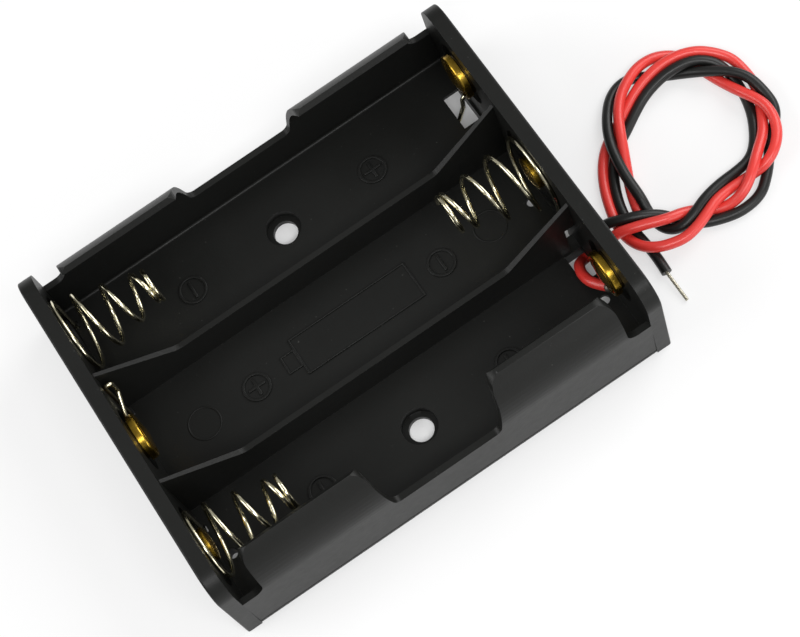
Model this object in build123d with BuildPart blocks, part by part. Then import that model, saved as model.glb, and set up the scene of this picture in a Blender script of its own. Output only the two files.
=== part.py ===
"""Flat tray for three cylindrical cells side by side, with coil spring and cap contacts and a lead pair.

Millimetres. X runs along the cells towards the end where the leads come out, Y runs across the bays,
Z is up, and the origin is the centre of the tray's flat base. Bay 1 is the +Y bay, bay 2 is the middle
one and bay 3 is the -Y bay. The right end is the +X one.
"""

import os
from math import cos, pi, radians, sin, tan

from build123d import *

# Moulded tray
bay_width = 14.3
bay_length = 54.2
divider = 0.8
side_wall = 0.8
end_wall = 1.9
floor = 2.2
rim_height = 15.7
rim_corner = 3.5
foot_corner = 0.6
end_proud = 0.15
end_lean = 0.35
end_round = 0.25
floor_fillet = 0.4
foot_strip = 0.5
foot_groove_height = 0.15
foot_groove_depth = 0.2

# Side walls: lugs that curl over the outer cells, the finger cutaway between them, a notch at each end
far_lug_arc = 50.7
near_left_lug_arc = 52.5
near_right_lug_arc = 57.0
lug_start = 8.55
notch_length = 3.0
lug_tip_fillet = 1.7
cutaway_height = 7.8
cutaway_half = 7.0
cutaway_fillet = 1.0
notch_height = 8.9
notch_fillet = 1.4

# Dividers: low along the middle, rising to the end walls, and thinner towards the top
divider_foot = 0.95
divider_top = 0.45
divider_low = 7.5
divider_high = 14.0
divider_slope_length = 9.2
divider_fillet = 2.0

# Fixing holes, one through the floor of each outer bay
screw_radius = 1.5
screw_recess_radius = 2.2
screw_recess_depth = 1.4

# Contact seats in the inner faces of the end walls, and the slots that wires go down through
seat_depth = 0.4
seat_margin = 0.6
cap_seat_depth = 0.5
cap_seat_radius = 4.1
contact_gap = 0.2
ring_gap = 0.1
slot_width = 1.0
core_radius = 0.6
core_setback = 1.5
core_recess_radius = 1.3
core_recess_depth = 1.6

# Windows through the floor at the right end, and the notch in the divider beside the second
window_1_length = 2.3
window_1_width = 4.9
window_1_setback = 0.3
window_1_shift = 0.05
window_1_recess = 0.9
window_3_length = 2.25
window_3_width = 3.8
window_3_setback = 0.05
divider_notch_length = 1.3
divider_notch_height = 8.4
peep_width = 1.6

# Contact wire
wire_radius = 0.275
wire_bend = 0.7
route_height = 0.75
sides_per_turn = 8
closed_turns = 0.45
tip_turns = 1.25
spring_turns = 4.6
spring_length = 10.9
ring_sides = 7
link_channel_depth = 1.3
link_channel_setback = 3.7
hairpin_height = 12.0
hairpin_legs = 0.95
hairpin_inset = 0.7

# Springs: base radius, tip radius, and how far the tip leans towards +Y
spring_1_base = 4.7
spring_1_tip = 2.0
spring_2_base = 4.6
spring_2_tip = 2.4
spring_2_lean = 1.4
spring_3_base = 4.35
spring_3_tip = 2.1

# Brass caps and studs
cap_radius = 2.9
cap_rim = 0.3
cap_face = 1.95
cap_flange = 0.9
cap_dome = 0.35
cap_1_rise = 0.35
neck_radius = 1.9
fit = 0.02
stud_radius = 2.1
stud_height = 1.1
stud_dome = 0.35
shank_radius = 1.0
shank_length = 0.9

# Leads
lead_radius = 0.65
lead_channel_width = 1.5
lead_channel_depth = 1.5
lead_bend = 2.6
black_column_left_setback = 9.1
black_column_right_setback = 7.6
black_exit_shift = 0.45
red_exit_shift = 1.5
solder_radius = 0.6
solder_length = 1.6
solder_cover = 0.6
solder_standoff = 2.2
coil_reach = 16.0
coil_y = -4.0
coil_outer = 11.0
coil_inner = 7.5
coil_height = 4.2
coil_round = 1.6
strand_radius = 0.3

# Stretches placed by hand, as (x, y, z) with x and y from the place that each comment names.
# From the right end wall's inner face and bay 1's axis: the link wire going down from ring 1
link_drop = [(0.1, -0.6, 6.15), (-1.15, -0.6, 5.4), (-1.35, -0.6, 3.4), (-2.45, -0.6, 0.75)]
# From ring 3 and bay 3's axis: the ring's tail, bent towards the solder
ring_tail = [(0.0, -0.2, 7.0), (0.0, -0.2, 6.05), (-0.695, -0.2, 5.55), (-0.695, -0.2, 5.2)]
# From the right end wall's inner face and bay 3's axis: the solder and the red lead's loop
solder_red_place = (-0.65, -0.2, 5.45)
solder_red_radius = 0.6
sphere_poles_along_y = (90, 0, 0)
red_foot_setback = 0.1
red_loop = [
    (-0.7, 0.15, 5.1),
    (-1.35, 1.0, 4.85),
    (-1.95, 2.1, 4.5),
    (-2.05, 3.5, 3.9),
    (-1.65, 4.9, 3.0),
    (-0.8, 5.8, 1.3),
]
# From each lead's way out of the end wall
red_free = [(0, 0, 0.75), (2.0, 0, 0.75), (4.6, -0.4, 1.1), (8.4, -1.6, 1.7)]
black_free = [(0, 0, 0.75), (1.8, 0, 0.75), (3.9, -0.1, 1.1), (6.6, -0.6, 1.7)]
# From the coil's centre: the black lead's tail and its bare strands
black_tail = [(-6.8, -6.6, 1.1), (-8.8, -8.2, 0.9), (-10.2, -9.9, 0.75), (-11.1, -12.5, 0.7)]
strand_tip = (-11.6, -16.1, 0.35)
run_share = 0.45

# Places that follow from the sizes above
pitch = bay_width + divider
bay_radius = bay_width / 2
axis_z = floor + bay_radius
wall_inner = pitch + bay_radius
wall_outer = wall_inner + side_wall
inner_end = bay_length / 2
outer_end = inner_end + end_wall
seat_x = inner_end + seat_depth
base_x = seat_x - wire_radius - contact_gap
lug_inner = bay_radius
lug_outer = bay_radius + side_wall
groove_y = wall_outer - foot_groove_depth
groove_top = foot_strip + foot_groove_height
cap_seat_x = inner_end + cap_seat_depth
cap_back = cap_seat_x - contact_gap / 2
ring_x = cap_seat_x - ring_gap - wire_radius
flange_back = ring_x - wire_radius - fit
cap_1_z = axis_z + cap_1_rise
tail_1_y = pitch + spring_1_base
tail_2_y = -spring_2_base
tail_3_y = -pitch + spring_3_base
hairpin_y = bay_radius - hairpin_inset
channel_end = base_x + slot_width / 2
tail_1_x = -base_x + solder_standoff
drop_y = pitch + link_drop[-1][1]
lug_end = inner_end - notch_length
divider_flat_half = inner_end - divider_slope_length
link_channel_x = inner_end - link_channel_setback
black_column_left = inner_end - black_column_left_setback
black_column_right = inner_end - black_column_right_setback
black_exit_y = -pitch / 2 + black_exit_shift
red_exit_y = -pitch / 2 - red_exit_shift
coil_x = outer_end + coil_reach
wide_bend = 100.0
pieces = []


def sector(radius, angle):
    """Point of the lug's section at an angle about the outer cell's axis."""
    return (pitch + radius * cos(radians(angle)), axis_z + radius * sin(radians(angle)))


def placed(points, x, y):
    """The points of a route, moved to where x and y start for it."""
    return [Vector(x + dx, y + dy, z) for dx, dy, z in points]


def corner_radii(points, limits):
    """Radius of each inner corner: what its two runs allow, and no more than that corner's limit."""
    radii = []
    for before, corner, after, limit in zip(points, points[1:], points[2:], limits[1:]):
        run = min((corner - before).length, (after - corner).length)
        half_turn = (corner - before).get_angle(after - corner) / 2
        radii.append(min(limit, run_share * run / tan(radians(half_turn))))
    return radii


def coil_points(side, axis_y, base_radius, tip_radius, lean, start_angle):
    """Corners of a right-handed coil from its closed base turn to its closed tip turn.

    They lie outside the wire's line, which is the chain of arcs that touches each side halfway.
    """
    corners = []
    closed_rise = 2 * wire_radius
    live_turns = spring_turns - closed_turns - tip_turns
    live_rise = (spring_length - closed_rise * (closed_turns + tip_turns)) / live_turns
    for step in range(round(spring_turns * sides_per_turn)):
        turn = (step + 0.5) / sides_per_turn
        live = min(max(turn - closed_turns, 0), live_turns)
        closed = turn - live
        advance = closed * closed_rise + live * live_rise
        share = live / live_turns
        radius = (base_radius + (tip_radius - base_radius) * share) / cos(pi / sides_per_turn)
        angle = radians(start_angle) - side * 2 * pi * turn
        corners.append(
            Vector(
                side * (base_x - advance),
                axis_y + lean * share + radius * cos(angle),
                axis_z + radius * sin(angle),
            )
        )
    return corners


def ring_points(side, axis_y, ring_z, turn_way, end_angle):
    """Corners of the open ring that holds a cap by its neck, the last side touching at end_angle."""
    corners = []
    radius = (neck_radius + fit + wire_radius) / cos(pi / sides_per_turn)
    for step in range(ring_sides, 0, -1):
        angle = radians(end_angle - turn_way * (step - 0.5) * 360 / sides_per_turn)
        corners.append(
            Vector(side * ring_x, axis_y + radius * cos(angle), ring_z + radius * sin(angle))
        )
    return corners


def cut_channel(points, width, depth, bends):
    """Channel along a route in the underside, open downwards."""
    with BuildLine() as route:
        FilletPolyline(*points, radius=bends)
    with BuildSketch(Plane(route.line @ 0, x_dir=(0, 0, 1), z_dir=route.line % 0)) as section:
        Rectangle(2 * depth, width)
    sweep(section.sketch, path=route.line, mode=Mode.SUBTRACT)


# Moulded tray
with BuildPart() as holder_body:
    # Floor and side walls, a quarter at a time because the lugs reach over the cells by different amounts
    for x_side, y_side, lug_arc in (
        (-1, 1, far_lug_arc),
        (1, 1, far_lug_arc),
        (-1, -1, near_left_lug_arc),
        (1, -1, near_right_lug_arc),
    ):
        with BuildSketch(Plane((0, 0, 0), x_dir=(0, y_side, 0), z_dir=(y_side, 0, 0))):
            with BuildLine():
                Polyline(
                    (0, 0),
                    (wall_outer, 0),
                    (wall_outer, foot_strip),
                    (groove_y, foot_strip),
                    (groove_y, groove_top),
                    (wall_outer, groove_top),
                    (wall_outer, axis_z),
                )
                CenterArc((pitch, axis_z), lug_outer, 0, lug_arc)
                Line(sector(lug_outer, lug_arc), sector(lug_inner, lug_arc))
                CenterArc((pitch, axis_z), lug_inner, 0, lug_arc)
                Line((wall_inner, axis_z), (wall_inner, floor + floor_fillet))
                CenterArc((wall_inner - floor_fillet, floor + floor_fillet), floor_fillet, -90, 90)
                Polyline((wall_inner - floor_fillet, floor), (0, floor), (0, 0))
            make_face()
        extrude(amount=x_side * y_side * (inner_end + fit))

    # Outline of the side walls seen from the side
    with BuildSketch(Plane.XZ) as outline:
        with BuildLine():
            Polyline(
                (0, 0),
                (inner_end + fit, 0),
                (inner_end + fit, notch_height),
                (lug_end + fit, notch_height),
                (lug_end, rim_height),
                (lug_start, rim_height),
                (cutaway_half, cutaway_height),
                (0, cutaway_height),
                (0, 0),
            )
        make_face()
        for corner, radius in (
            ((lug_end, rim_height), lug_tip_fillet),
            ((lug_start, rim_height), lug_tip_fillet),
            ((lug_end + fit, notch_height), notch_fillet),
            ((cutaway_half, cutaway_height), cutaway_fillet),
        ):
            fillet(outline.vertices().sort_by_distance(corner)[0], radius)
        mirror(about=Plane.YZ)
    extrude(amount=wall_outer + fit, both=True, mode=Mode.INTERSECT)

    # Dividers
    with BuildPart() as dividers:
        for divider_y in (-pitch / 2, pitch / 2):
            with BuildSketch(Plane.YZ.offset(-inner_end - fit)):
                with BuildLine():
                    Polyline(
                        (divider_y - divider_foot / 2, 0),
                        (divider_y + divider_foot / 2, 0),
                        (divider_y + divider_top / 2, divider_high),
                        (divider_y - divider_top / 2, divider_high),
                        close=True,
                    )
                make_face()
            extrude(amount=bay_length + 2 * fit)
        with BuildSketch(Plane.XZ):
            with BuildLine():
                Polyline(
                    (-inner_end - fit, 0),
                    (-inner_end - fit, divider_high),
                    (-divider_flat_half, divider_low),
                    (divider_flat_half, divider_low),
                    (inner_end + fit, divider_high),
                    (inner_end + fit, 0),
                    close=True,
                )
            profile = make_face()
            fillet(profile.vertices().filter_by_position(Axis.Y, divider_low, divider_low), divider_fillet)
        extrude(amount=pitch, both=True, mode=Mode.INTERSECT)

    # End walls, a little proud of the side walls at the foot and leaning in towards the rim
    for side in (-1, 1):
        with BuildPart() as wall:
            with BuildSketch(Plane.YZ.offset(side * inner_end)):
                with BuildLine():
                    Polyline(
                        (-wall_outer - end_proud, 0),
                        (wall_outer + end_proud, 0),
                        (wall_outer + end_proud - end_lean, rim_height),
                        (-wall_outer - end_proud + end_lean, rim_height),
                        close=True,
                    )
                end_face = make_face()
                fillet(end_face.vertices().filter_by_position(Axis.Y, rim_height, rim_height), rim_corner)
                fillet(end_face.vertices().filter_by_position(Axis.Y, 0, 0), foot_corner)
            extrude(amount=side * end_wall)
            fillet(wall.faces().sort_by(Axis.X)[0 if side < 0 else -1].edges(), end_round)

    # Round seats for the contacts, and blind bores for the shanks of the two studs
    for side, seat_y, seat_z, seat_radius, depth, bored in (
        (-1, pitch, axis_z, spring_1_base + wire_radius + seat_margin, seat_depth, False),
        (1, pitch, cap_1_z, cap_seat_radius, cap_seat_depth, False),
        (-1, 0, axis_z, cap_seat_radius, cap_seat_depth, False),
        (1, 0, axis_z, spring_2_base + wire_radius + seat_margin, seat_depth, True),
        (-1, -pitch, axis_z, spring_3_base + wire_radius + seat_margin, seat_depth, True),
        (1, -pitch, axis_z, cap_seat_radius, cap_seat_depth, False),
    ):
        with BuildSketch(Plane.YZ.offset(side * inner_end)):
            with Locations((seat_y, seat_z)):
                Circle(seat_radius)
        extrude(amount=side * depth, mode=Mode.SUBTRACT)
        if bored:
            with BuildSketch(Plane.YZ.offset(side * inner_end)):
                with Locations((seat_y, axis_z)):
                    Circle(shank_radius + fit)
            extrude(amount=side * (seat_depth + shank_length + fit), mode=Mode.SUBTRACT)

    # Slots down the end walls and through the floor for the contact wires
    for slot_x, slot_y, slot_top in (
        (-base_x, tail_1_y, axis_z),
        (-base_x, hairpin_y, hairpin_height + slot_width),
        (-base_x, tail_3_y, axis_z),
        (base_x, tail_2_y, axis_z),
    ):
        with BuildSketch(Plane.XY):
            with Locations((slot_x, slot_y)):
                Rectangle(slot_width, slot_width)
        extrude(amount=slot_top, mode=Mode.SUBTRACT)

    # Windows, core holes and the see-through beside the divider at the right end
    window_1_x = inner_end - window_1_setback - window_1_length / 2
    window_3_x = inner_end - window_3_setback - window_3_length / 2
    window_3_y = -pitch / 2 - divider / 2 - contact_gap - window_3_width / 2
    peep_y = tail_2_y - peep_width / 2
    with BuildSketch(Plane.XY):
        with Locations((window_1_x, pitch - window_1_shift)):
            Rectangle(window_1_length, window_1_width)
        with Locations((window_3_x, window_3_y)):
            Rectangle(window_3_length, window_3_width)
        with Locations((inner_end - slot_width / 2, peep_y)):
            Rectangle(slot_width, peep_width)
        with Locations((inner_end - core_setback, 0), (inner_end - core_setback, -pitch)):
            Circle(core_radius)
        with Locations((-inner_end + core_setback, -pitch)):
            Circle(core_radius)
    extrude(amount=floor, mode=Mode.SUBTRACT)
    with BuildSketch(Plane.XY):
        with Locations((inner_end - core_setback, 0), (inner_end - core_setback, -pitch)):
            Circle(core_recess_radius)
        with Locations((window_1_x, pitch - window_1_shift + (window_1_width + window_1_recess) / 2)):
            Rectangle(window_1_length, window_1_recess)
    extrude(amount=core_recess_depth, mode=Mode.SUBTRACT)
    with BuildSketch(Plane.XZ.offset(pitch / 2)):
        with Locations((inner_end - divider_notch_length / 2, (floor + divider_notch_height) / 2)):
            Rectangle(divider_notch_length, divider_notch_height - floor)
    extrude(amount=divider_foot / 2, both=True, mode=Mode.SUBTRACT)

    # Fixing holes, recessed on the cell side
    with Locations(Location((0, pitch, floor)), Location((0, -pitch, floor))):
        CounterBoreHole(screw_radius, screw_recess_radius, screw_recess_depth, depth=floor)

    # Wire and lead channels in the underside
    cut_channel(
        [
            (inner_end - window_1_setback - window_1_length, drop_y, 0),
            (link_channel_x, drop_y, 0),
            (link_channel_x, tail_2_y, 0),
            (channel_end, tail_2_y, 0),
        ],
        slot_width,
        link_channel_depth,
        [wire_bend, wire_bend],
    )
    with BuildSketch(Plane.XY):
        with Locations((-base_x, (hairpin_y + tail_3_y) / 2)):
            Rectangle(slot_width, hairpin_y - tail_3_y)
        with Locations((-base_x + solder_standoff / 2, tail_1_y)):
            Rectangle(solder_standoff, slot_width)
    extrude(amount=link_channel_depth, mode=Mode.SUBTRACT)
    black_turns = [
        (-black_column_left, tail_1_y),
        (-black_column_left, pitch / 2),
        (black_column_right, pitch / 2),
        (black_column_right, black_exit_y),
    ]
    cut_channel(
        [
            (tail_1_x - solder_cover, tail_1_y, 0),
            *((x, y, 0) for x, y in black_turns),
            (outer_end + fit, black_exit_y, 0),
        ],
        lead_channel_width,
        lead_channel_depth,
        [lead_bend] * len(black_turns),
    )
    with BuildSketch(Plane.XY):
        with Locations(((window_3_x + outer_end) / 2, red_exit_y)):
            Rectangle(outer_end - window_3_x + 2 * fit, lead_channel_width)
    extrude(amount=lead_channel_depth, mode=Mode.SUBTRACT)
holder_body.part.label = "holder_body"
pieces.append(holder_body.part)


# Brass caps: a domed face inside a rolled rim, and the neck that the wire ring holds
for name, side, cap_y, cap_z in (
    ("cap_1", 1, pitch, cap_1_z),
    ("cap_2", -1, 0, axis_z),
    ("cap_3", 1, -pitch, axis_z),
):
    with BuildPart() as cap:
        with BuildSketch(Plane((0, cap_y, cap_z), x_dir=(side, 0, 0), z_dir=(0, -side, 0))):
            with BuildLine():
                front = flange_back - cap_flange
                rim_x = front + cap_rim
                ThreePointArc(
                    (front - cap_dome, 0),
                    (front - cap_dome * 0.75, cap_face / 2),
                    (front, cap_face),
                )
                Polyline((front, cap_face), (rim_x, cap_face), (rim_x, cap_radius - 2 * cap_rim))
                CenterArc((rim_x, cap_radius - cap_rim), cap_rim, 90, 180)
                Polyline(
                    (rim_x, cap_radius),
                    (flange_back, cap_radius),
                    (flange_back, neck_radius),
                    (cap_back, neck_radius),
                    (cap_back, 0),
                    (front - cap_dome, 0),
                )
            make_face()
        revolve(axis=Axis((0, cap_y, cap_z), (1, 0, 0)))
    cap.part.label = name
    pieces.append(cap.part)

# Brass studs inside the base turns of the two linked springs
for name, side, stud_y in (("stud_2", 1, 0), ("stud_3", -1, -pitch)):
    with BuildPart() as stud:
        with BuildSketch(Plane((0, stud_y, axis_z), x_dir=(side, 0, 0), z_dir=(0, -side, 0))):
            with BuildLine():
                front = seat_x - stud_height
                ThreePointArc(
                    (front - stud_dome, 0),
                    (front - stud_dome * 0.75, stud_radius / 2),
                    (front, stud_radius),
                )
                Polyline(
                    (front, stud_radius),
                    (seat_x, stud_radius),
                    (seat_x, shank_radius),
                    (seat_x + shank_length, shank_radius),
                    (seat_x + shank_length, 0),
                    (front - stud_dome, 0),
                )
            make_face()
        revolve(axis=Axis((0, stud_y, axis_z), (1, 0, 0)))
    stud.part.label = name
    pieces.append(stud.part)

# Contact wires. Spring 1 stands alone; springs 2 and 3 are one wire each with the ring of the next cap.
coil_1 = coil_points(-1, pitch, spring_1_base, spring_1_tip, 0, 0)
coil_2 = coil_points(1, 0, spring_2_base, spring_2_tip, spring_2_lean, 180)
coil_3 = coil_points(-1, -pitch, spring_3_base, spring_3_tip, 0, 0)
ring_1 = ring_points(1, pitch, cap_1_z, -1, -90)
ring_2 = ring_points(-1, 0, axis_z, 1, -67.5)
ring_3 = ring_points(1, -pitch, axis_z, 1, -112.5)
strand_slope = pi / sides_per_turn
strand_bend_y = cap_radius
leads_1 = [Vector(tail_1_x, tail_1_y, route_height), Vector(-base_x, tail_1_y, route_height)]
leads_2 = [
    Vector(ring_x, drop_y, cap_1_z - neck_radius - fit - wire_radius),
    *placed(link_drop, inner_end, pitch),
    Vector(link_channel_x, drop_y, route_height),
    Vector(link_channel_x, tail_2_y, route_height),
    Vector(base_x, tail_2_y, route_height),
]
leads_3 = [
    Vector(-ring_x, strand_bend_y, ring_2[-1].Z + strand_bend_y * tan(strand_slope)),
    Vector(-base_x + hairpin_legs, hairpin_y, ring_2[-1].Z + hairpin_y * tan(strand_slope)),
    Vector(-base_x + hairpin_legs, hairpin_y, hairpin_height),
    Vector(-base_x, hairpin_y, hairpin_height),
    Vector(-base_x, hairpin_y, route_height),
    Vector(-base_x, tail_3_y, route_height),
]
for name, ring, link, coil in (
    ("spring_1", [], leads_1, coil_1),
    ("spring_2_link", ring_1, leads_2, coil_2),
    ("spring_3_link", ring_2, leads_3, coil_3),
    ("cap_3_ring", ring_3, placed(ring_tail, ring_x, -pitch), []),
):
    with BuildPart() as wire:
        points = ring + link + coil
        limits = [wide_bend] * len(ring) + [wire_bend] * len(link) + [wide_bend] * len(coil)
        with BuildLine() as route:
            FilletPolyline(*points, radius=corner_radii(points, limits))
        with BuildSketch(Plane(route.line @ 0, z_dir=route.line % 0)):
            Circle(wire_radius)
        sweep()
    wire.part.label = name
    pieces.append(wire.part)
    if name == "spring_1":
        spring_1_wire = wire.part
    if name == "cap_3_ring":
        ring_3_wire = wire.part

# Leads held by the tray: the black one in its channel, the red one looping up through the window
black_inner_route = [
    Vector(tail_1_x + solder_length - solder_cover, tail_1_y, route_height),
    *(Vector(x, y, route_height) for x, y in black_turns),
    Vector(outer_end, black_exit_y, route_height),
]
red_inner_route = [
    *placed(red_loop, inner_end, -pitch),
    Vector(inner_end + red_foot_setback, red_exit_y, route_height),
    Vector(outer_end, red_exit_y, route_height),
]
lead_parts = {}
for name, points, limit in (
    ("black_lead_inner", black_inner_route, lead_bend),
    ("red_lead_inner", red_inner_route, wide_bend),
    ("black_lead", placed(black_free, outer_end, black_exit_y), wide_bend),
    ("red_lead", placed(red_free, outer_end, red_exit_y), wide_bend),
    ("black_lead_tail", placed(black_tail, coil_x, coil_y), wide_bend),
):
    radii = corner_radii(points, [limit] * len(points))
    with BuildPart() as lead:
        with BuildLine() as route:
            FilletPolyline(*points, radius=radii)
        with BuildSketch(Plane(route.line @ 0, z_dir=route.line % 0)):
            Circle(lead_radius)
        sweep()
    length = sum(edge.length for edge in route.line.edges())
    print(name, "radii", [round(radius, 1) for radius in radii], "length", round(length, 1))
    print(name, "volume", lead.part.volume, "section times length", length * pi * lead_radius**2)
    lead.part.label = name
    lead_parts[name] = lead.part

# Outer shape of the wound pair of leads, lying on the surface that the tray stands on
with BuildPart() as lead_coil:
    with BuildSketch(Plane((coil_x, coil_y, 0), x_dir=(1, 0, 0), z_dir=(0, -1, 0))):
        with Locations(((coil_inner + coil_outer) / 2, coil_height / 2)):
            RectangleRounded(coil_outer - coil_inner, coil_height, coil_round)
    revolve(axis=Axis((coil_x, coil_y, 0), (0, 0, 1)))
lead_coil.part.label = "lead_coil"
pieces.append(lead_coil.part)

# The free stretches end where they meet the coil
for name in ("black_lead", "red_lead", "black_lead_tail"):
    with BuildPart() as free:
        add(lead_parts[name])
        add(lead_coil.part, mode=Mode.SUBTRACT)
    free.part.label = name
    lead_parts[name] = free.part
pieces.extend(lead_parts.values())

# Bare twisted strands at the black lead's end
with BuildPart() as black_bare_end:
    with BuildLine() as route:
        Line(*placed([black_tail[-1], strand_tip], coil_x, coil_y))
    with BuildSketch(Plane(route.line @ 0, z_dir=route.line % 0)):
        Circle(strand_radius)
    sweep()
    add(lead_parts["black_lead_tail"], mode=Mode.SUBTRACT)
black_bare_end.part.label = "black_bare_end"
pieces.append(black_bare_end.part)

# Solder round the tail of spring 1 and the black lead's core
with BuildPart() as solder_black:
    with BuildSketch(Plane.YZ.offset(tail_1_x - solder_cover)):
        with Locations((tail_1_y, route_height)):
            Circle(solder_radius)
    extrude(amount=solder_length)
    fillet(solder_black.edges().filter_by(GeomType.CIRCLE), solder_radius / 3)
    add(spring_1_wire, mode=Mode.SUBTRACT)
solder_black.part.label = "solder_black"
pieces.append(solder_black.part)

# Solder between the tail of cap 3's ring and the red lead
with BuildPart() as solder_red:
    with Locations(*placed([solder_red_place], inner_end, -pitch)):
        Sphere(solder_red_radius, rotation=sphere_poles_along_y)
    add(ring_3_wire, mode=Mode.SUBTRACT)
    add(lead_parts["red_lead_inner"], mode=Mode.SUBTRACT)
solder_red.part.label = "solder_red"
pieces.append(solder_red.part)

os.makedirs("parts", exist_ok=True)
for piece in pieces:
    export_step(piece, f"parts/{piece.label}.step")
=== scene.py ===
"""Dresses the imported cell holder: tray, contact wires, brass caps and the wound pair of leads."""

from math import cos, pi, radians, sin

import bpy
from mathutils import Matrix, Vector


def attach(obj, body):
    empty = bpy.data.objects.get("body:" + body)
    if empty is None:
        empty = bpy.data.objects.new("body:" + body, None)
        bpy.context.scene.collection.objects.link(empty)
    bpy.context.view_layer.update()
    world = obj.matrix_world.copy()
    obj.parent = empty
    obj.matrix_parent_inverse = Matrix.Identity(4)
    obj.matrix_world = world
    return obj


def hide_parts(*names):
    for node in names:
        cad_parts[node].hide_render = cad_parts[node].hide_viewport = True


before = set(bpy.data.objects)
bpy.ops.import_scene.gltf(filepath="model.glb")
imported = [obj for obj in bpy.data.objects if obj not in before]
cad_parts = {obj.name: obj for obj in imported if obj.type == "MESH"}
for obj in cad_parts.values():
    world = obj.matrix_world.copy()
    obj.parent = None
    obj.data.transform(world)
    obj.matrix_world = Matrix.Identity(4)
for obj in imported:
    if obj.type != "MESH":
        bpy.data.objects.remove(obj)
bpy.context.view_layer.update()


# Moulded tray: one piece of black styrene, injection moulded with a satin, lightly drawn surface.
# Its walls, lugs and dividers come from the CAD solid. The edges of the real moulding are softened
# by wear and polish, so the piece that is shown is that solid's mesh with its sharp edges rounded.
MM = 0.001
merge_reach = 0.001 * MM
flat_turn = radians(0.4)
smooth_turn = radians(30)
edge_turn = radians(38)
edge_softness = 0.11 * MM
edge_steps = 2
flat_face_weight = 50
tray_black = (0.0064, 0.0067, 0.0061, 1)
tray_scuffed = (0.0106, 0.0109, 0.0099, 1)
dust_grey = (0.16, 0.16, 0.15, 1)
dust_cover = 0.25
dust_start, dust_full = 0.735, 0.80
tray_gloss = {"Specular IOR Level": 0.22}
tray_roughness, drawn_roughness, cloud_roughness = 0.32, 0.10, 0.08
tray_relief = 0.02 * MM


class Shade:
    """One socket of a material. Arithmetic on it adds Math nodes, and node() adds other nodes."""

    def __init__(self, tree, socket=None):
        self.tree = tree
        self.socket = socket

    def node(self, kind, inputs, settings=None, output=0):
        """A new node with these settings and with these values or links in its sockets."""
        made = self.tree.nodes.new(kind)
        for name, value in (settings or {}).items():
            setattr(made, name, value)
        for name, value in inputs.items():
            if isinstance(value, Shade):
                self.tree.links.new(value.socket, made.inputs[name])
            else:
                made.inputs[name].default_value = value
        return Shade(self.tree, made.outputs[output])

    def math(self, operation, first, second=0.0):
        return self.node("ShaderNodeMath", {0: first, 1: second}, {"operation": operation})

    def __add__(self, other):
        return self.math("ADD", self, other)

    def __radd__(self, other):
        return self.math("ADD", other, self)

    def __sub__(self, other):
        return self.math("SUBTRACT", self, other)

    def __rsub__(self, other):
        return self.math("SUBTRACT", other, self)

    def __mul__(self, other):
        return self.math("MULTIPLY", self, other)

    def __rmul__(self, other):
        return self.math("MULTIPLY", other, self)

    def __abs__(self):
        return self.math("ABSOLUTE", self)

    def higher(self, other):
        return self.math("MAXIMUM", self, other)

    def between(self, low, high):
        """0 below low, 1 above high and a smooth step between them."""
        return self.node(
            "ShaderNodeMapRange",
            {"Value": self, "From Min": low, "From Max": high},
            {"interpolation_type": "SMOOTHSTEP"},
        )

    def mix(self, first, second):
        """Colour first where this is 0 and second where it is 1."""
        return self.node(
            "ShaderNodeMix",
            {"Factor": self, "A": first, "B": second},
            {"data_type": "RGBA"},
            output="Result",
        )

    def noise(self, repeats, detail=3, roughness=0.5):
        """Noise over these coordinates, with this many repeats to the metre."""
        return self.node(
            "ShaderNodeTexNoise",
            {"Vector": self, "Scale": repeats, "Detail": detail, "Roughness": roughness},
        )

    def parts(self, axes):
        """The named parts of these coordinates."""
        return [self.node("ShaderNodeSeparateXYZ", {"Vector": self}, output=axis) for axis in axes]


def finish_named(name, fixed):
    """A new material with these values fixed on its shader, the shader, and its coordinates."""
    material = bpy.data.materials.new(name)
    material.use_nodes = True
    shader = material.node_tree.nodes["Principled BSDF"]
    for socket, value in fixed.items():
        shader.inputs[socket].default_value = value
    place = Shade(material.node_tree).node("ShaderNodeTexCoord", {}, output="Object")
    return material, shader, place


def feed(shader, **sockets):
    """Links each value to the shader's socket of that name."""
    for name, value in sockets.items():
        value.tree.links.new(value.socket, shader.inputs[name.replace("_", " ")])


def bumped(height, depth):
    """Relief of this depth, in metres."""
    return height.node("ShaderNodeBump", {"Height": height, "Distance": depth})


moulded, shader, place = finish_named("moulded_black", tray_gloss)
drawn = place.noise(900, detail=4, roughness=0.6)
cloud = place.noise(70)
dust = place.noise(2400, detail=2).between(dust_start, dust_full)
pitted = place.noise(3200, detail=2)
feed(
    shader,
    Base_Color=(dust_cover * dust).mix(cloud.mix(tray_black, tray_scuffed), dust_grey),
    Roughness=tray_roughness + drawn_roughness * drawn + cloud_roughness * cloud,
    Normal=bumped(drawn * 0.5 + pitted * 0.5, tray_relief),
)


def deselect():
    bpy.ops.object.select_all(action="DESELECT")


def picked(thing):
    """Makes this the only selected object, and the active one."""
    deselect()
    thing.select_set(True)
    bpy.context.view_layer.objects.active = thing


def finished_with(thing, kind, **settings):
    """Puts this modifier on the object and applies it."""
    picked(thing)
    added = thing.modifiers.new(kind.lower(), kind)
    for name, value in settings.items():
        setattr(added, name, value)
    bpy.ops.object.modifier_apply(modifier=added.name)


def shown(name, data):
    """A new object with this mesh, curve, lamp or camera."""
    thing = bpy.data.objects.new(name, data)
    bpy.context.collection.objects.link(thing)
    return thing


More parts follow.
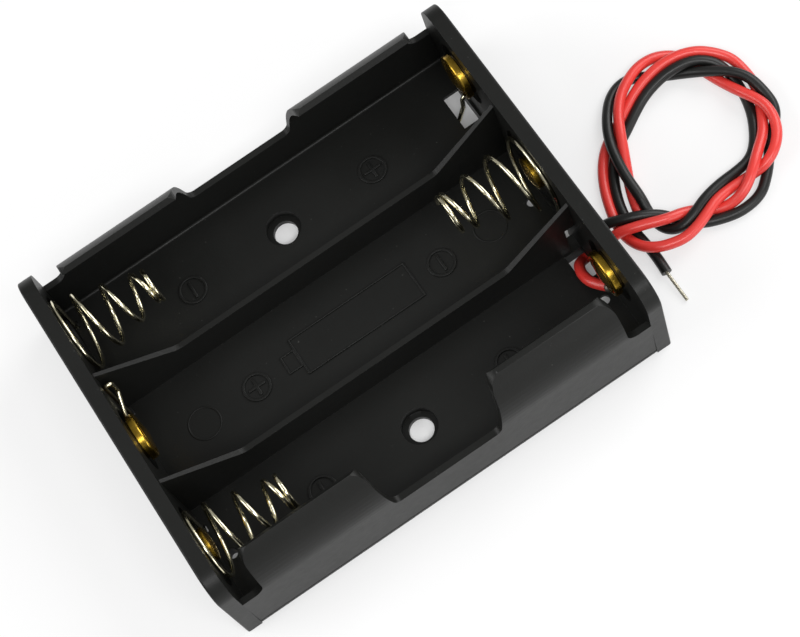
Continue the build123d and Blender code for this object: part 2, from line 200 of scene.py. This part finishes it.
moulded_tray = shown("moulded_tray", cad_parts["holder_body"].data.copy())
picked(moulded_tray)
bpy.ops.object.mode_set(mode="EDIT")
bpy.ops.mesh.select_all(action="SELECT")
bpy.ops.mesh.remove_doubles(threshold=merge_reach)
bpy.ops.mesh.dissolve_limited(angle_limit=flat_turn)
bpy.ops.object.mode_set(mode="OBJECT")
bpy.ops.object.shade_smooth_by_angle(angle=smooth_turn)
finished_with(
    moulded_tray,
    "BEVEL",
    width=edge_softness,
    segments=edge_steps,
    limit_method="ANGLE",
    angle_limit=edge_turn,
)
finished_with(moulded_tray, "WEIGHTED_NORMAL", weight=flat_face_weight, keep_sharp=True)
moulded_tray.data.materials.clear()
moulded_tray.data.materials.append(moulded)
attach(moulded_tray, "root")
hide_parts("holder_body")


# Raised marks on the bay floors, cut into the mould: a ringed plus and minus in each bay, a bare
# panel outline with a nub at its end in the middle bay, and the rings that ejector pins leave.
# Places, and the sizes of the panel and the nub, are in millimetres.
floor_height = 2.2 * MM
mark_height = 0.2 * MM
mark_sunk = 0.1 * MM
mark_thickness = mark_height + mark_sunk
mark_line = 0.36 * MM
mark_radius = 1.8 * MM
mark_bar = 1.15 * MM
mark_softness = 0.07 * MM
mark_turn = radians(50)
ring_sides = 48
bay_pitch = 15.1
plus_places = [(12.7, bay_pitch - 0.2), (-12.95, 0.1), (12.6, -bay_pitch + 0.2)]
minus_places = [(-12.95, bay_pitch - 0.1), (12.9, 0.0), (-13.1, -bay_pitch + 0.15)]
pin_places = [(-20.3, 0.0), (20.0, 0.4)]
pin_radius = 2.1 * MM
pin_depth = 0.11 * MM
thin_line = 0.24 * MM
panel_middle = (1.1, 0.25)
panel_size = (16.4, 5.1)
nub_middle = (-8.0, 0.25)
nub_size = (2.0, 2.5)
nub_depth = 0.02 * MM


def hollowed(shape, line, depth=0):
    """Leaves a line of this width round the edge of a flat shape, and lowers it by the depth."""
    picked(shape)
    bpy.ops.object.mode_set(mode="EDIT")
    bpy.ops.mesh.select_all(action="SELECT")
    bpy.ops.mesh.inset(thickness=line)
    bpy.ops.mesh.delete(type="FACE")
    bpy.ops.object.mode_set(mode="OBJECT")
    shape.location.z -= depth
    return shape


def disc(x, y, radius):
    """Flat disc on the bay floor."""
    deselect()
    place = (x * MM, y * MM, floor_height)
    bpy.ops.mesh.primitive_circle_add(
        vertices=ring_sides, radius=radius, fill_type="NGON", location=place
    )
    return bpy.context.object


def flat(x, y, width, depth):
    """Flat oblong on the bay floor."""
    deselect()
    bpy.ops.mesh.primitive_plane_add(size=1, location=(x * MM, y * MM, floor_height))
    oblong = bpy.context.object
    oblong.scale = (width, depth, 1)
    bpy.ops.object.transform_apply(location=False, rotation=False, scale=True)
    return oblong


def crossed(x, y):
    """Flat plus: a small square with each of its four sides drawn out into an arm."""
    cross = flat(x, y, mark_line, mark_line)
    for away in (Vector((1, 0, 0)), Vector((-1, 0, 0)), Vector((0, 1, 0)), Vector((0, -1, 0))):
        bpy.ops.object.mode_set(mode="EDIT")
        bpy.ops.mesh.select_mode(type="EDGE")
        bpy.ops.mesh.select_all(action="DESELECT")
        bpy.ops.object.mode_set(mode="OBJECT")
        corners = cross.data.vertices
        for edge in cross.data.edges:
            middle = (corners[edge.vertices[0]].co + corners[edge.vertices[1]].co) / 2
            edge.select = (middle - away * mark_line / 2).length < mark_line / 10
        arm = away * (mark_bar - mark_line / 2)
        bpy.ops.object.mode_set(mode="EDIT")
        bpy.ops.mesh.extrude_region_move(TRANSFORM_OT_translate={"value": arm})
        bpy.ops.object.mode_set(mode="OBJECT")
    return cross


def joined(name, objects):
    """These objects as one piece with its place in its mesh."""
    picked(objects[0])
    for thing in objects:
        thing.select_set(True)
    bpy.ops.object.join()
    piece = bpy.context.object
    piece.name = name
    bpy.ops.object.transform_apply(location=True, rotation=True, scale=True)
    return piece


marks = [hollowed(disc(x, y, mark_radius), mark_line) for x, y in plus_places + minus_places]
marks += [crossed(x, y) for x, y in plus_places]
marks += [flat(x, y, mark_line, 2 * mark_bar) for x, y in minus_places]
marks += [hollowed(disc(x, y, pin_radius), thin_line, pin_depth) for x, y in pin_places]
panel = flat(*panel_middle, panel_size[0] * MM, panel_size[1] * MM)
marks.append(hollowed(panel, thin_line))
nub = flat(*nub_middle, nub_size[0] * MM, nub_size[1] * MM)
marks.append(hollowed(nub, thin_line, nub_depth))
floor_marks = joined("floor_marks", marks)
finished_with(
    floor_marks,
    "SOLIDIFY",
    thickness=mark_thickness,
    offset=2 * mark_height / mark_thickness - 1,
)
finished_with(
    floor_marks,
    "BEVEL",
    width=mark_softness,
    segments=edge_steps,
    limit_method="ANGLE",
    angle_limit=mark_turn,
)
picked(floor_marks)
bpy.ops.object.shade_smooth_by_angle(angle=mark_turn)
floor_marks.data.materials.append(moulded)
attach(floor_marks, "root")


# Contact wires: nickel plated spring steel, each wound right-handed into a coil that narrows
# towards the cell. One wire makes a spring, the link under the tray and the open ring that holds
# the next cap by its neck. The rings are painted dark brown as shade, where they sit in the gap
# behind the caps.
wire_dull = (0.66, 0.60, 0.38, 1)
wire_bright = (0.92, 0.88, 0.68, 1)
ring_shade_brown = (0.10, 0.07, 0.03, 1)
wire_roughness, stain_roughness, ring_roughness = 0.13, 0.12, 0.3
wire_relief = 0.01 * MM
ring_start, ring_full = 26.6 * MM, 27.0 * MM
middle_bay_end, outer_bay_start = 7.2 * MM, 7.8 * MM
bare_metal = {"Metallic": 1.0}


def coat_nodes(material, names):
    """Gives these CAD nodes the material."""
    for name in names:
        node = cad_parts[name]
        node.data.materials.clear()
        node.data.materials.append(material)


plated, shader, place = finish_named("plated_wire", bare_metal)
stain = place.noise(420)
scratched = place.noise(2600)
along, across = place.parts("XY")
outer_bay = abs(across).between(middle_bay_end, outer_bay_start)
# The rings are at the right end of the outer bays and at the left end of the middle bay.
ring_in_shade = ((2 * outer_bay - 1) * along).between(ring_start, ring_full)
feed(
    shader,
    # Painted shade: the rings turn dark brown, and rougher, where they sit in the gap behind the
    # caps.
    Base_Color=ring_in_shade.mix(stain.mix(wire_dull, wire_bright), ring_shade_brown),
    Roughness=wire_roughness + stain_roughness * stain + ring_roughness * ring_in_shade,
    Normal=bumped(scratched, wire_relief),
)
coat_nodes(plated, ["spring_1", "spring_2_link", "spring_3_link", "cap_3_ring"])


# Caps and studs: brass pressings, a domed cap for the button of each cell and a hollow stud in the
# base turn of two springs. The bare brass is tarnished in some places and rubbed bright in others.
brass_tarnished = (0.37, 0.222, 0.020, 1)
brass_bright = (0.62, 0.405, 0.060, 1)
brass_roughness, rubbed_roughness = 0.16, 0.20
brass_relief = 0.012 * MM

brass, shader, place = finish_named("pressed_brass", bare_metal)
rubbed = place.noise(520, detail=4, roughness=0.6)
pressed = place.noise(1900)
feed(
    shader,
    Base_Color=rubbed.mix(brass_tarnished, brass_bright),
    Roughness=brass_roughness + rubbed_roughness * rubbed,
    Normal=bumped(pressed, brass_relief),
)
coat_nodes(brass, ["cap_1", "cap_2", "cap_3", "stud_2", "stud_3"])


# Solder at the two joints, where each lead meets a contact wire: small drops of grey tin alloy,
# set by hand and dull with a fine grain.
solder_dark = (0.16, 0.15, 0.13, 1)
solder_light = (0.30, 0.29, 0.26, 1)
solder_roughness, grain_roughness = 0.42, 0.2
solder_relief = 0.02 * MM

solder, shader, place = finish_named("soft_solder", bare_metal)
grain = place.noise(800)
feed(
    shader,
    Base_Color=grain.mix(solder_dark, solder_light),
    Roughness=solder_roughness + grain_roughness * grain,
    Normal=bumped(grain, solder_relief),
)
coat_nodes(solder, ["solder_black", "solder_red"])


# Bare ends of the leads: seven fine tinned copper wires, twisted together where the sleeve has been
# stripped off. Sizes, and the two points that each end runs between, are in millimetres.
black_bare = (Vector((33.4, -15.7, 0.65)), Vector((33.4, -20.1, 0.3)))
red_bare = (Vector((34.9, -8.4, 0.6)), Vector((34.7, -9.9, 0.4)))
strand_count = 7
strand_radius = 0.075
strand_spread = 0.14
strand_turns = 1.5
strand_steps = 24
strand_roundness = 3
strand_dull = (0.40, 0.37, 0.28, 1)
strand_bright = (0.66, 0.63, 0.53, 1)
strand_roughness, dull_roughness = 0.25, 0.2

tinned, shader, place = finish_named("tinned_strands", bare_metal)
dull = place.noise(1500)
feed(
    shader,
    Base_Color=dull.mix(strand_dull, strand_bright),
    Roughness=strand_roughness + dull_roughness * dull,
)


def bare_strands(name, start, end):
    """One straight wire with the others wound round it."""
    strands = bpy.data.curves.new(name, "CURVE")
    strands.dimensions = "3D"
    sideways = (end - start).cross(Vector((0, 0, 1))).normalized()
    upwards = sideways.cross((end - start).normalized())
    for number in range(strand_count):
        spline = strands.splines.new("POLY")
        spline.points.add(strand_steps)
        spread = 0 if number == 0 else strand_spread
        for step in range(strand_steps + 1):
            share = step / strand_steps
            angle = 2 * pi * (strand_turns * share + number / (strand_count - 1))
            centre = start.lerp(end, share)
            x, y, z = (centre + spread * (cos(angle) * sideways + sin(angle) * upwards)) * MM
            spline.points[step].co = (x, y, z, 1)
    strands.bevel_depth = strand_radius * MM
    strands.bevel_resolution = strand_roundness
    strands.use_fill_caps = True
    picked(shown(name, strands))
    bpy.ops.object.convert(target="MESH")
    thing = bpy.context.object
    thing.data.materials.append(tinned)
    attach(thing, "root")
    return thing


black_strands = bare_strands("black_strands", *black_bare)
red_strands = bare_strands("red_strands", *red_bare)
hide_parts("black_bare_end")


# Leads: two stranded wires in soft vinyl sleeves, led out under the end wall, twisted loosely round
# each other and wound twice into a small open ring. Each route is the line of one lead, in
# millimetres, from the wall to where its sleeve ends.
lead_radius = 0.65 * MM
lead_steps = 6
lead_roundness = 5
red_gloss = {"Coat Weight": 0.25, "Coat Roughness": 0.22}
black_gloss = {"Specular IOR Level": 0.36, "Coat Weight": 0.1, "Coat Roughness": 0.25}
red_deep = (0.64, 0.028, 0.022, 1)
red_light = (0.76, 0.050, 0.039, 1)
black_deep = (0.0045, 0.0048, 0.0044, 1)
black_light = (0.0095, 0.0098, 0.0090, 1)
red_roughness, black_roughness, smear_roughness = 0.30, 0.34, 0.14
sleeve_relief = 0.02 * MM
black_route = [
    (29.0, -7.1, 0.75), (30.2, -7.1, 0.80), (31.3, -7.4, 1.70), (32.8, -8.2, 2.13),
    (34.8, -9.1, 2.24), (36.8, -10.1, 1.56), (38.1, -11.4, 0.65), (39.8, -13.4, 0.65),
    (42.3, -14.5, 0.65), (44.7, -15.1, 0.65), (47.5, -14.8, 0.65), (49.4, -13.3, 0.65),
    (51.0, -11.6, 0.65), (52.3, -9.8, 0.72), (54.2, -8.4, 0.91), (55.3, -6.8, 1.23),
    (55.3, -4.5, 1.66), (54.9, -2.2, 1.98), (53.4, -0.2, 2.16), (51.3, 1.5, 1.87),
    (49.3, 3.2, 1.01), (47.3, 4.5, 0.65), (45.1, 6.1, 0.65), (43.0, 6.8, 0.75),
    (40.6, 5.8, 1.18), (38.6, 3.5, 1.69), (37.3, 1.0, 1.98), (36.6, -1.5, 2.06),
    (36.2, -4.2, 2.03), (36.2, -6.9, 1.58), (35.9, -9.1, 0.71), (36.1, -11.4, 0.70),
    (37.5, -12.9, 1.46), (39.5, -12.7, 1.99), (41.8, -11.7, 1.96), (44.3, -11.1, 1.57),
    (46.9, -10.9, 1.20), (49.1, -10.5, 0.92), (50.8, -9.1, 0.73), (52.4, -6.6, 0.65),
    (53.3, -4.2, 0.65), (53.7, -1.7, 0.65), (53.6, 0.7, 0.99), (52.7, 2.3, 1.59),
    (50.9, 3.5, 2.02), (48.5, 3.9, 2.14), (46.3, 3.9, 1.77), (43.9, 3.4, 1.32),
    (41.8, 2.4, 0.95), (39.7, 1.2, 0.65), (37.6, 0.1, 0.65), (35.8, -1.8, 0.65),
    (34.5, -4.1, 0.65), (33.6, -6.6, 0.65), (33.3, -9.1, 0.65), (33.5, -11.8, 0.65),
    (33.6, -14.1, 0.65), (33.4, -16.1, 0.65),
]
red_route = [
    (29.0, -9.05, 0.75), (30.4, -9.05, 0.78), (31.2, -9.1, 1.79), (32.7, -9.7, 2.36),
    (34.9, -10.5, 2.39), (36.9, -11.3, 2.36), (39.0, -11.5, 1.67), (40.7, -11.9, 0.67),
    (42.4, -13.2, 0.65), (44.3, -13.8, 1.01), (46.2, -13.6, 1.97), (48.0, -12.5, 2.55),
    (50.0, -10.8, 2.47), (52.2, -8.9, 1.67), (53.6, -6.6, 1.08), (54.7, -4.5, 0.73),
    (55.3, -2.6, 0.65), (55.3, -0.5, 0.65), (55.0, 1.3, 0.94), (53.9, 2.8, 1.30),
    (52.3, 4.2, 1.73), (50.3, 5.0, 1.97), (48.1, 5.3, 2.00), (45.8, 5.1, 1.83),
    (43.7, 4.6, 1.45), (41.9, 3.8, 1.08), (40.1, 2.8, 0.80), (38.0, 1.8, 0.65),
    (36.2, 0.6, 0.65), (34.6, -1.3, 0.65), (33.4, -3.6, 0.65), (32.6, -5.9, 0.65),
    (32.1, -7.9, 0.65), (32.1, -10.0, 0.92), (32.6, -11.9, 1.65), (33.9, -13.3, 2.02),
    (35.5, -14.0, 2.05), (37.4, -14.4, 2.05), (39.4, -14.0, 2.01), (41.2, -13.3, 1.97),
    (43.0, -12.5, 1.72), (45.2, -12.2, 1.28), (47.2, -12.2, 1.06), (48.8, -12.3, 1.32),
    (50.2, -12.3, 1.93), (51.7, -11.7, 2.27), (53.2, -10.3, 2.22), (54.1, -8.5, 2.20),
    (54.3, -6.5, 2.24), (53.8, -4.8, 2.16), (53.0, -3.0, 1.80), (52.4, -1.0, 1.11),
    (51.8, 1.1, 0.65), (51.2, 3.2, 0.65), (50.7, 5.0, 0.65), (49.3, 6.3, 0.84),
    (47.5, 6.9, 1.43), (45.3, 6.8, 1.84), (43.2, 5.9, 2.06), (41.4, 4.7, 2.11),
    (39.9, 2.9, 2.08), (38.8, 0.8, 1.99), (37.9, -1.1, 1.50), (37.0, -2.9, 0.91),
    (36.0, -5.0, 0.65), (35.3, -7.0, 0.65), (34.9, -8.6, 0.65),
]


def sleeve_finish(name, gloss, deep, light, roughness):
    """Soft vinyl with a faint ripple, smeared by handling."""
    material, shader, place = finish_named(name, gloss)
    smear = place.noise(260)
    ripple = place.noise(900)
    feed(
        shader,
        Base_Color=smear.mix(deep, light),
        Roughness=roughness + smear_roughness * smear,
        Normal=bumped(ripple, sleeve_relief),
    )
    return material


def lead_along(name, route, material):
    """Round lead on one smooth line through the route."""
    line = bpy.data.curves.new(name, "CURVE")
    line.dimensions = "3D"
    spline = line.splines.new("NURBS")
    spline.points.add(len(route) - 1)
    for point, (x, y, z) in zip(spline.points, route):
        point.co = (x * MM, y * MM, z * MM, 1)
    spline.order_u = 3
    spline.use_endpoint_u = True
    line.resolution_u = lead_steps
    line.bevel_depth = lead_radius
    line.bevel_resolution = lead_roundness
    line.use_fill_caps = True
    line.materials.append(material)
    return shown(name, line)


red_sleeve = sleeve_finish("red_sleeve", red_gloss, red_deep, red_light, red_roughness)
black_sleeve = sleeve_finish("black_sleeve", black_gloss, black_deep, black_light, black_roughness)
coat_nodes(red_sleeve, ["red_lead_inner"])
coat_nodes(black_sleeve, ["black_lead_inner"])
black_lead = lead_along("black_lead_run", black_route, black_sleeve)
red_lead = lead_along("red_lead_run", red_route, red_sleeve)
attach(black_lead, "root")
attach(red_lead, "root")
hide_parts("black_lead", "black_lead_tail", "lead_coil")
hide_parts("red_lead", "lead_coil")


# Setting: white paper under the holder and a white wall all round. Both show white to the camera,
# where the paper keeps the holder's shadow, and they light the holder only as plain paper and a dim
# wall do. Under the tray, where it is seen through the holes, the paper's glow is lowered as a
# painted shadow of the tray.
paper_width = 3
paper_below = 0.02 * MM
tray_end, past_tray_end = 28 * MM, 30.5 * MM
tray_side, past_tray_side = 21.5 * MM, 24.5 * MM
covered_tint, open_tint, plain_tint = 0.78, 0.36, 0.82
painted_shadow_glow, open_glow, glow_strength = 0.25, 1, 0.57
wall_light, wall_shown = 0.34, 1.0


def grey(level):
    return (level, level, level, 1)


def emptied(owner):
    """Clears the nodes of this material or world, and gives the start of its own."""
    owner.use_nodes = True
    owner.node_tree.nodes.clear()
    return Shade(owner.node_tree)


def seen_by(start, *rays):
    """1 for rays of these kinds and 0 for the others."""
    seen, *others = [start.node("ShaderNodeLightPath", {}, output=ray) for ray in rays]
    for other in others:
        seen = seen.higher(other)
    return seen


def surfaced(start, output, seen, white, other):
    """Ends the nodes in the white shader for the rays that see it and in the other for the rest."""
    both = start.node("ShaderNodeMixShader", {0: seen, 1: other, 2: white})
    end = start.tree.nodes.new(output)
    start.tree.links.new(both.socket, end.inputs["Surface"])


deselect()
bpy.ops.mesh.primitive_plane_add(size=paper_width, location=(0, 0, -paper_below))
floor = bpy.context.object
floor.name = "floor"
paper = bpy.data.materials.new("white_paper")
floor.data.materials.append(paper)
start = emptied(paper)
along, across = start.node("ShaderNodeTexCoord", {}, output="Object").parts("XY")
# Painted shadow: the paper's glow falls to a lower level under the tray, with soft edges.
open_floor = abs(along).between(tray_end, past_tray_end)
open_floor = open_floor.higher(abs(across).between(tray_side, past_tray_side))
tint = open_floor.mix(grey(covered_tint), grey(open_tint))
glow_with_painted_shadow = open_floor.mix(grey(painted_shadow_glow), grey(open_glow))
surface = start.node("ShaderNodeBsdfDiffuse", {"Color": tint})
glow = start.node("ShaderNodeEmission", {"Color": glow_with_painted_shadow, "Strength": glow_strength})
white = start.node("ShaderNodeAddShader", {0: surface, 1: glow})
plain = start.node("ShaderNodeBsdfDiffuse", {"Color": grey(plain_tint)})
seen = seen_by(start, "Is Camera Ray", "Is Glossy Ray", "Is Transmission Ray")
surfaced(start, "ShaderNodeOutputMaterial", seen, white, plain)

wall = bpy.data.worlds.new("studio")
bpy.context.scene.world = wall
start = emptied(wall)
dim = start.node("ShaderNodeBackground", {"Color": grey(1), "Strength": wall_light})
white = start.node("ShaderNodeBackground", {"Color": grey(1), "Strength": wall_shown})
surfaced(start, "ShaderNodeOutputWorld", seen_by(start, "Is Camera Ray"), white, dim)


# Light and view: four soft lamps round the holder, each turned to its middle, and the camera where
# the photograph was taken from. Places and sizes are in metres, and power is in watts.
lamps = {
    "right_softbox": {"place": (0.52, 0.10, 0.42), "size": (0.45, 0.45), "power": 2.4},
    "left_softbox": {"place": (-0.52, 0.16, 0.42), "size": (0.45, 0.45), "power": 2.1},
    "front_card": {"place": (0.34, -0.62, 0.22), "size": (0.55, 0.22), "power": 1.3},
    "top_softbox": {"place": (0, -0.30, 0.52), "size": (0.45, 0.15), "power": 1.7},
}
lamp_aim = Vector((0, 0, 0))
camera_place = (-0.00424, -0.09794, 0.23868)
camera_turn = (radians(19.736), radians(10.328), radians(-32.853))
camera_lens = 99.05
camera_shift = (-0.0058, -0.0130)
camera_nearest = 0.01

for name, lamp in lamps.items():
    light = bpy.data.lights.new(name, "AREA")
    light.shape = "RECTANGLE"
    light.size, light.size_y = lamp["size"]
    light.energy = lamp["power"]
    stand = shown(name, light)
    stand.location = lamp["place"]
    way = lamp_aim - Vector(lamp["place"])
    stand.rotation_euler = way.to_track_quat("-Z", "Y").to_euler()

view = bpy.data.cameras.new("camera")
view.lens = camera_lens
view.shift_x, view.shift_y = camera_shift
view.clip_start = camera_nearest
camera = shown("camera", view)
camera.location = camera_place
camera.rotation_euler = camera_turn
bpy.context.scene.camera = camera
bpy.context.scene.view_settings.view_transform = "Standard"
